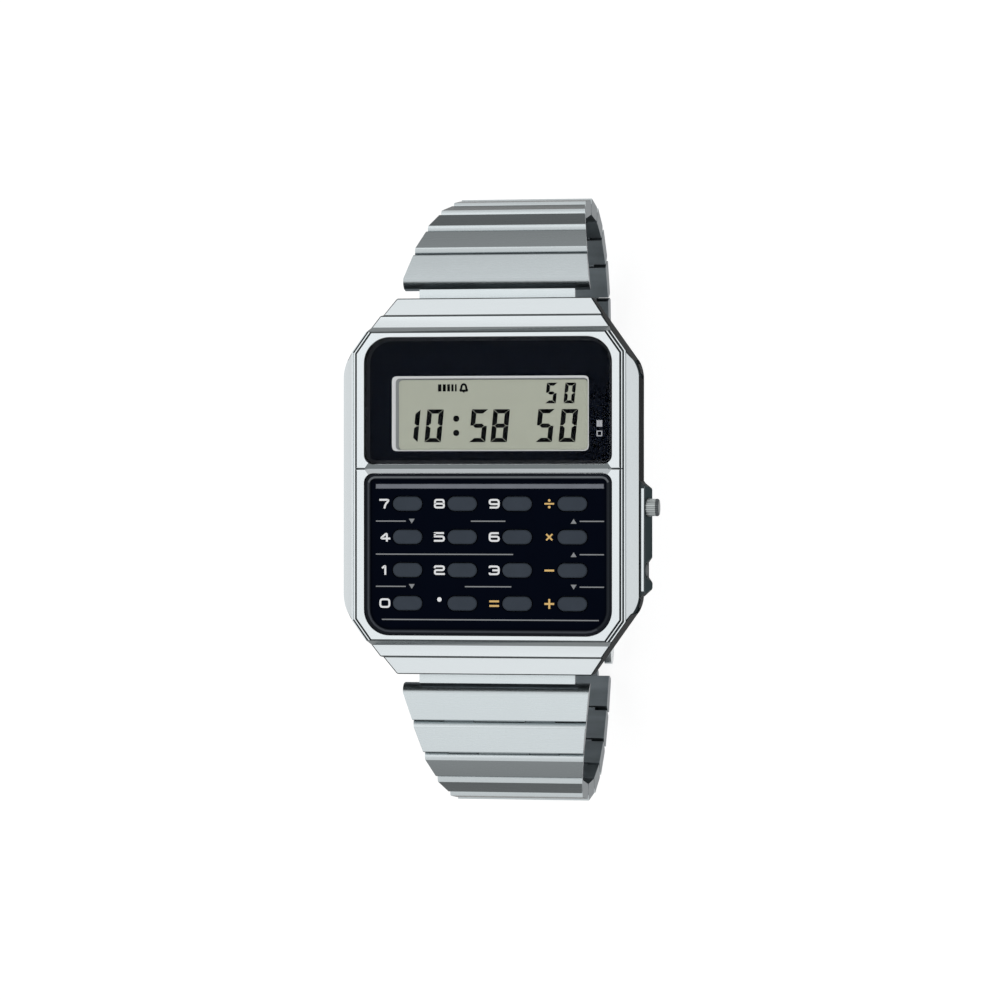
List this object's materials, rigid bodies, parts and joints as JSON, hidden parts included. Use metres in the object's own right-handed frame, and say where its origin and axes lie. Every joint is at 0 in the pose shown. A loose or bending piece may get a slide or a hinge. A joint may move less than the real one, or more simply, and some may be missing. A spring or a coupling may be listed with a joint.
{
  "type": "calculator watch",
  "caption": "Digital calculator wristwatch: a stepped metal-look case with a display window over a keypad, pushers, and a tapering hinged link band with a folding clasp.",
  "frame": {"origin": "on the flat outer face of the closed clasp cover, straight below the middle of the case", "axes": "+Z out of the dial, +Y towards 12 o'clock, +X towards 3 o'clock, the side of the pushers"},
  "size_m": [0.0365, 0.0726, 0.0443],
  "materials": {
    "case_chrome": "chrome plated, satin top and polished edges",
    "window_clear": "clear gloss",
    "mask_print": "gloss print",
    "panel_black": "satin gloss",
    "key_grey": "soft satin",
    "dome_steel": "satin",
    "lcd_glass": "grey green reflective display",
    "connector_rubber": "matt",
    "frame_resin": "matt",
    "board_green": "solder mask",
    "component_black": "matt",
    "cell_steel": "satin",
    "strap_steel": "satin",
    "piezo_brass": "plain",
    "gasket_rubber": "matt",
    "back_steel": "brushed",
    "screw_steel": "turned",
    "pusher_steel": "turned",
    "spring_steel": "plain",
    "bar_steel": "turned",
    "link_steel": "brushed",
    "clasp_steel": "brushed"
  },
  "bodies": {
    "case": {"case_shell": "case_chrome", "display_window": "window_clear", "window_mask": "mask_print", "keypad_panel": "panel_black", "dome_sheet": "dome_steel", "lcd_panel": "lcd_glass", "lcd_connectors": "connector_rubber", "module_frame": "frame_resin", "circuit_board": "board_green", "board_components": "component_black", "battery": "cell_steel", "battery_strap": "strap_steel", "piezo_disc": "piezo_brass", "back_gasket": "gasket_rubber", "back_cover": "back_steel", "back_screws": "screw_steel", "mode_spring": "spring_steel", "adjust_spring": "spring_steel", "spring_bars": "bar_steel"},
    "key_5": {"key_5": "key_grey"},
    "key_7": {"key_7": "key_grey"},
    "key_8": {"key_8": "key_grey"},
    "key_9": {"key_9": "key_grey"},
    "key_divide": {"key_divide": "key_grey"},
    "key_4": {"key_4": "key_grey"},
    "key_6": {"key_6": "key_grey"},
    "key_times": {"key_times": "key_grey"},
    "key_1": {"key_1": "key_grey"},
    "key_2": {"key_2": "key_grey"},
    "key_3": {"key_3": "key_grey"},
    "key_minus": {"key_minus": "key_grey"},
    "key_0": {"key_0": "key_grey"},
    "key_point": {"key_point": "key_grey"},
    "key_equals": {"key_equals": "key_grey"},
    "key_plus": {"key_plus": "key_grey"},
    "mode_pusher": {"mode_pusher": "pusher_steel"},
    "adjust_pusher": {"adjust_pusher": "pusher_steel"},
    "top_link_1": {"top_link_1": "link_steel"},
    "top_link_2": {"top_link_2": "link_steel"},
    "top_link_3": {"top_link_3": "link_steel"},
    "top_link_4": {"top_link_4": "link_steel"},
    "top_link_5": {"top_link_5": "link_steel"},
    "top_link_6": {"top_link_6": "link_steel"},
    "top_link_7": {"top_link_7": "link_steel"},
    "top_link_8": {"top_link_8": "link_steel"},
    "top_link_9": {"top_link_9": "link_steel"},
    "top_link_10": {"top_link_10": "link_steel"},
    "low_link_1": {"low_link_1": "link_steel"},
    "low_link_2": {"low_link_2": "link_steel"},
    "low_link_3": {"low_link_3": "link_steel"},
    "low_link_4": {"low_link_4": "link_steel"},
    "low_link_5": {"low_link_5": "link_steel"},
    "low_link_6": {"low_link_6": "link_steel"},
    "low_link_7": {"low_link_7": "link_steel"},
    "low_link_8": {"low_link_8": "link_steel"},
    "low_link_9": {"low_link_9": "link_steel"},
    "low_link_10": {"low_link_10": "link_steel"},
    "clasp_leaf": {"clasp_leaf": "clasp_steel"},
    "clasp_cover": {"clasp_cover": "clasp_steel"},
    "clasp_tab": {"clasp_tab": "clasp_steel"}
  },
  "joints": [
    {"name": "cover_hinge", "type": "hinge", "parent": "clasp_leaf", "child": "clasp_cover", "pos_m": [0, -0.02091, 0.0016], "axis": [-1, 0, 0], "range_deg": [0, 120]},
    {"name": "leaf_hinge", "type": "hinge", "parent": "top_link_10", "child": "clasp_leaf", "pos_m": [0, 0.01872, 0.0016], "axis": [1, 0, 0], "range_deg": [0, 10]},
    {"name": "tab_hinge", "type": "hinge", "parent": "clasp_cover", "child": "clasp_tab", "pos_m": [0, -0.006, 0.00045], "axis": [1, 0, 0], "range_deg": [0, 60]},
    {"name": "mode_press", "type": "slide", "parent": "case", "child": "mode_pusher", "axis": [-1, 0, 0], "range_m": [0, 0.0006], "stiffness_N_per_m": 1500, "deforming": ["mode_spring"]},
    {"name": "adjust_press", "type": "slide", "parent": "case", "child": "adjust_pusher", "axis": [-1, 0, 0], "range_m": [0, 0.0004], "stiffness_N_per_m": 1500, "deforming": ["adjust_spring"]},
    {"name": "key_5_press", "type": "slide", "parent": "case", "child": "key_5", "axis": [0, 0, -1], "range_m": [0, 0.0003], "stiffness_N_per_m": 1500},
    {"name": "top_link_1_hinge", "type": "hinge", "parent": "case", "child": "top_link_1", "pos_m": [0, 0.02045, 0.03837], "axis": [1, 0, 0], "range_deg": [0, 41]},
    {"name": "top_link_2_hinge", "type": "hinge", "parent": "top_link_1", "child": "top_link_2", "pos_m": [0, 0.02652, 0.03493], "axis": [1, 0, 0], "range_deg": [0, 13.5]},
    {"name": "top_link_3_hinge", "type": "hinge", "parent": "top_link_2", "child": "top_link_3", "pos_m": [0, 0.02931, 0.03102], "axis": [1, 0, 0], "range_deg": [0, 9.5]},
    {"name": "top_link_5_hinge", "type": "hinge", "parent": "top_link_4", "child": "top_link_5", "pos_m": [0, 0.03266, 0.02207], "axis": [1, 0, 0], "range_deg": [0, 5]},
    {"name": "top_link_10_hinge", "type": "hinge", "parent": "top_link_9", "child": "top_link_10", "pos_m": [0, 0.02344, 0.00243], "axis": [1, 0, 0], "range_deg": [0, 18]},
    {"name": "low_link_1_hinge", "type": "hinge", "parent": "case", "child": "low_link_1", "pos_m": [0, -0.02045, 0.03837], "axis": [-1, 0, 0], "range_deg": [0, 32]},
    {"name": "low_link_2_hinge", "type": "hinge", "parent": "low_link_1", "child": "low_link_2", "pos_m": [0, -0.02693, 0.03556], "axis": [-1, 0, 0], "range_deg": [0, 4.5]},
    {"name": "low_link_3_hinge", "type": "hinge", "parent": "low_link_2", "child": "low_link_3", "pos_m": [0, -0.03079, 0.0327], "axis": [-1, 0, 0], "range_deg": [0, 17.5]},
    {"name": "low_link_5_hinge", "type": "hinge", "parent": "low_link_4", "child": "low_link_5", "pos_m": [0, -0.0356, 0.02445], "axis": [-1, 0, 0], "range_deg": [0, 14]},
    {"name": "low_link_10_hinge", "type": "hinge", "parent": "low_link_9", "child": "low_link_10", "pos_m": [0, -0.02787, 0.0037], "axis": [-1, 0, 0], "range_deg": [0, 10.04]},
    {"name": "key_7_press", "type": "slide", "parent": "case", "child": "key_7", "axis": [0, 0, -1], "range_m": [0, 0.0003], "stiffness_N_per_m": 1500},
    {"name": "key_8_press", "type": "slide", "parent": "case", "child": "key_8", "axis": [0, 0, -1], "range_m": [0, 0.0003], "stiffness_N_per_m": 1500},
    {"name": "key_9_press", "type": "slide", "parent": "case", "child": "key_9", "axis": [0, 0, -1], "range_m": [0, 0.0003], "stiffness_N_per_m": 1500},
    {"name": "key_divide_press", "type": "slide", "parent": "case", "child": "key_divide", "axis": [0, 0, -1], "range_m": [0, 0.0003], "stiffness_N_per_m": 1500},
    {"name": "key_4_press", "type": "slide", "parent": "case", "child": "key_4", "axis": [0, 0, -1], "range_m": [0, 0.0003], "stiffness_N_per_m": 1500},
    {"name": "key_6_press", "type": "slide", "parent": "case", "child": "key_6", "axis": [0, 0, -1], "range_m": [0, 0.0003], "stiffness_N_per_m": 1500},
    {"name": "key_times_press", "type": "slide", "parent": "case", "child": "key_times", "axis": [0, 0, -1], "range_m": [0, 0.0003], "stiffness_N_per_m": 1500},
    {"name": "key_1_press", "type": "slide", "parent": "case", "child": "key_1", "axis": [0, 0, -1], "range_m": [0, 0.0003], "stiffness_N_per_m": 1500},
    {"name": "key_2_press", "type": "slide", "parent": "case", "child": "key_2", "axis": [0, 0, -1], "range_m": [0, 0.0003], "stiffness_N_per_m": 1500},
    {"name": "key_3_press", "type": "slide", "parent": "case", "child": "key_3", "axis": [0, 0, -1], "range_m": [0, 0.0003], "stiffness_N_per_m": 1500},
    {"name": "key_minus_press", "type": "slide", "parent": "case", "child": "key_minus", "axis": [0, 0, -1], "range_m": [0, 0.0003], "stiffness_N_per_m": 1500},
    {"name": "key_0_press", "type": "slide", "parent": "case", "child": "key_0", "axis": [0, 0, -1], "range_m": [0, 0.0003], "stiffness_N_per_m": 1500},
    {"name": "key_point_press", "type": "slide", "parent": "case", "child": "key_point", "axis": [0, 0, -1], "range_m": [0, 0.0003], "stiffness_N_per_m": 1500},
    {"name": "key_equals_press", "type": "slide", "parent": "case", "child": "key_equals", "axis": [0, 0, -1], "range_m": [0, 0.0003], "stiffness_N_per_m": 1500},
    {"name": "key_plus_press", "type": "slide", "parent": "case", "child": "key_plus", "axis": [0, 0, -1], "range_m": [0, 0.0003], "stiffness_N_per_m": 1500},
    {"name": "top_link_4_hinge", "type": "hinge", "parent": "top_link_3", "child": "top_link_4", "pos_m": [0, 0.03142, 0.02671], "axis": [1, 0, 0], "range_deg": [0, 11]},
    {"name": "top_link_6_hinge", "type": "hinge", "parent": "top_link_5", "child": "top_link_6", "pos_m": [0, 0.03349, 0.01735], "axis": [1, 0, 0], "range_deg": [0, 17]},
    {"name": "top_link_7_hinge", "type": "hinge", "parent": "top_link_6", "child": "top_link_7", "pos_m": [0, 0.03291, 0.01258], "axis": [1, 0, 0], "range_deg": [0, 17]},
    {"name": "top_link_8_hinge", "type": "hinge", "parent": "top_link_7", "child": "top_link_8", "pos_m": [0, 0.03095, 0.0082], "axis": [1, 0, 0], "range_deg": [0, 19]},
    {"name": "top_link_9_hinge", "type": "hinge", "parent": "top_link_8", "child": "top_link_9", "pos_m": [0, 0.02768, 0.00469], "axis": [1, 0, 0], "range_deg": [0, 19]},
    {"name": "low_link_4_hinge", "type": "hinge", "parent": "low_link_3", "child": "low_link_4", "pos_m": [0, -0.03361, 0.02882], "axis": [-1, 0, 0], "range_deg": [0, 11.5]},
    {"name": "low_link_6_hinge", "type": "hinge", "parent": "low_link_5", "child": "low_link_6", "pos_m": [0, -0.03647, 0.01973], "axis": [-1, 0, 0], "range_deg": [0, 14.5]},
    {"name": "low_link_7_hinge", "type": "hinge", "parent": "low_link_6", "child": "low_link_7", "pos_m": [0, -0.03614, 0.01494], "axis": [-1, 0, 0], "range_deg": [0, 15]},
    {"name": "low_link_8_hinge", "type": "hinge", "parent": "low_link_7", "child": "low_link_8", "pos_m": [0, -0.03458, 0.01041], "axis": [-1, 0, 0], "range_deg": [0, 17]},
    {"name": "low_link_9_hinge", "type": "hinge", "parent": "low_link_8", "child": "low_link_9", "pos_m": [0, -0.03175, 0.00652], "axis": [-1, 0, 0], "range_deg": [0, 18]}
  ]
}
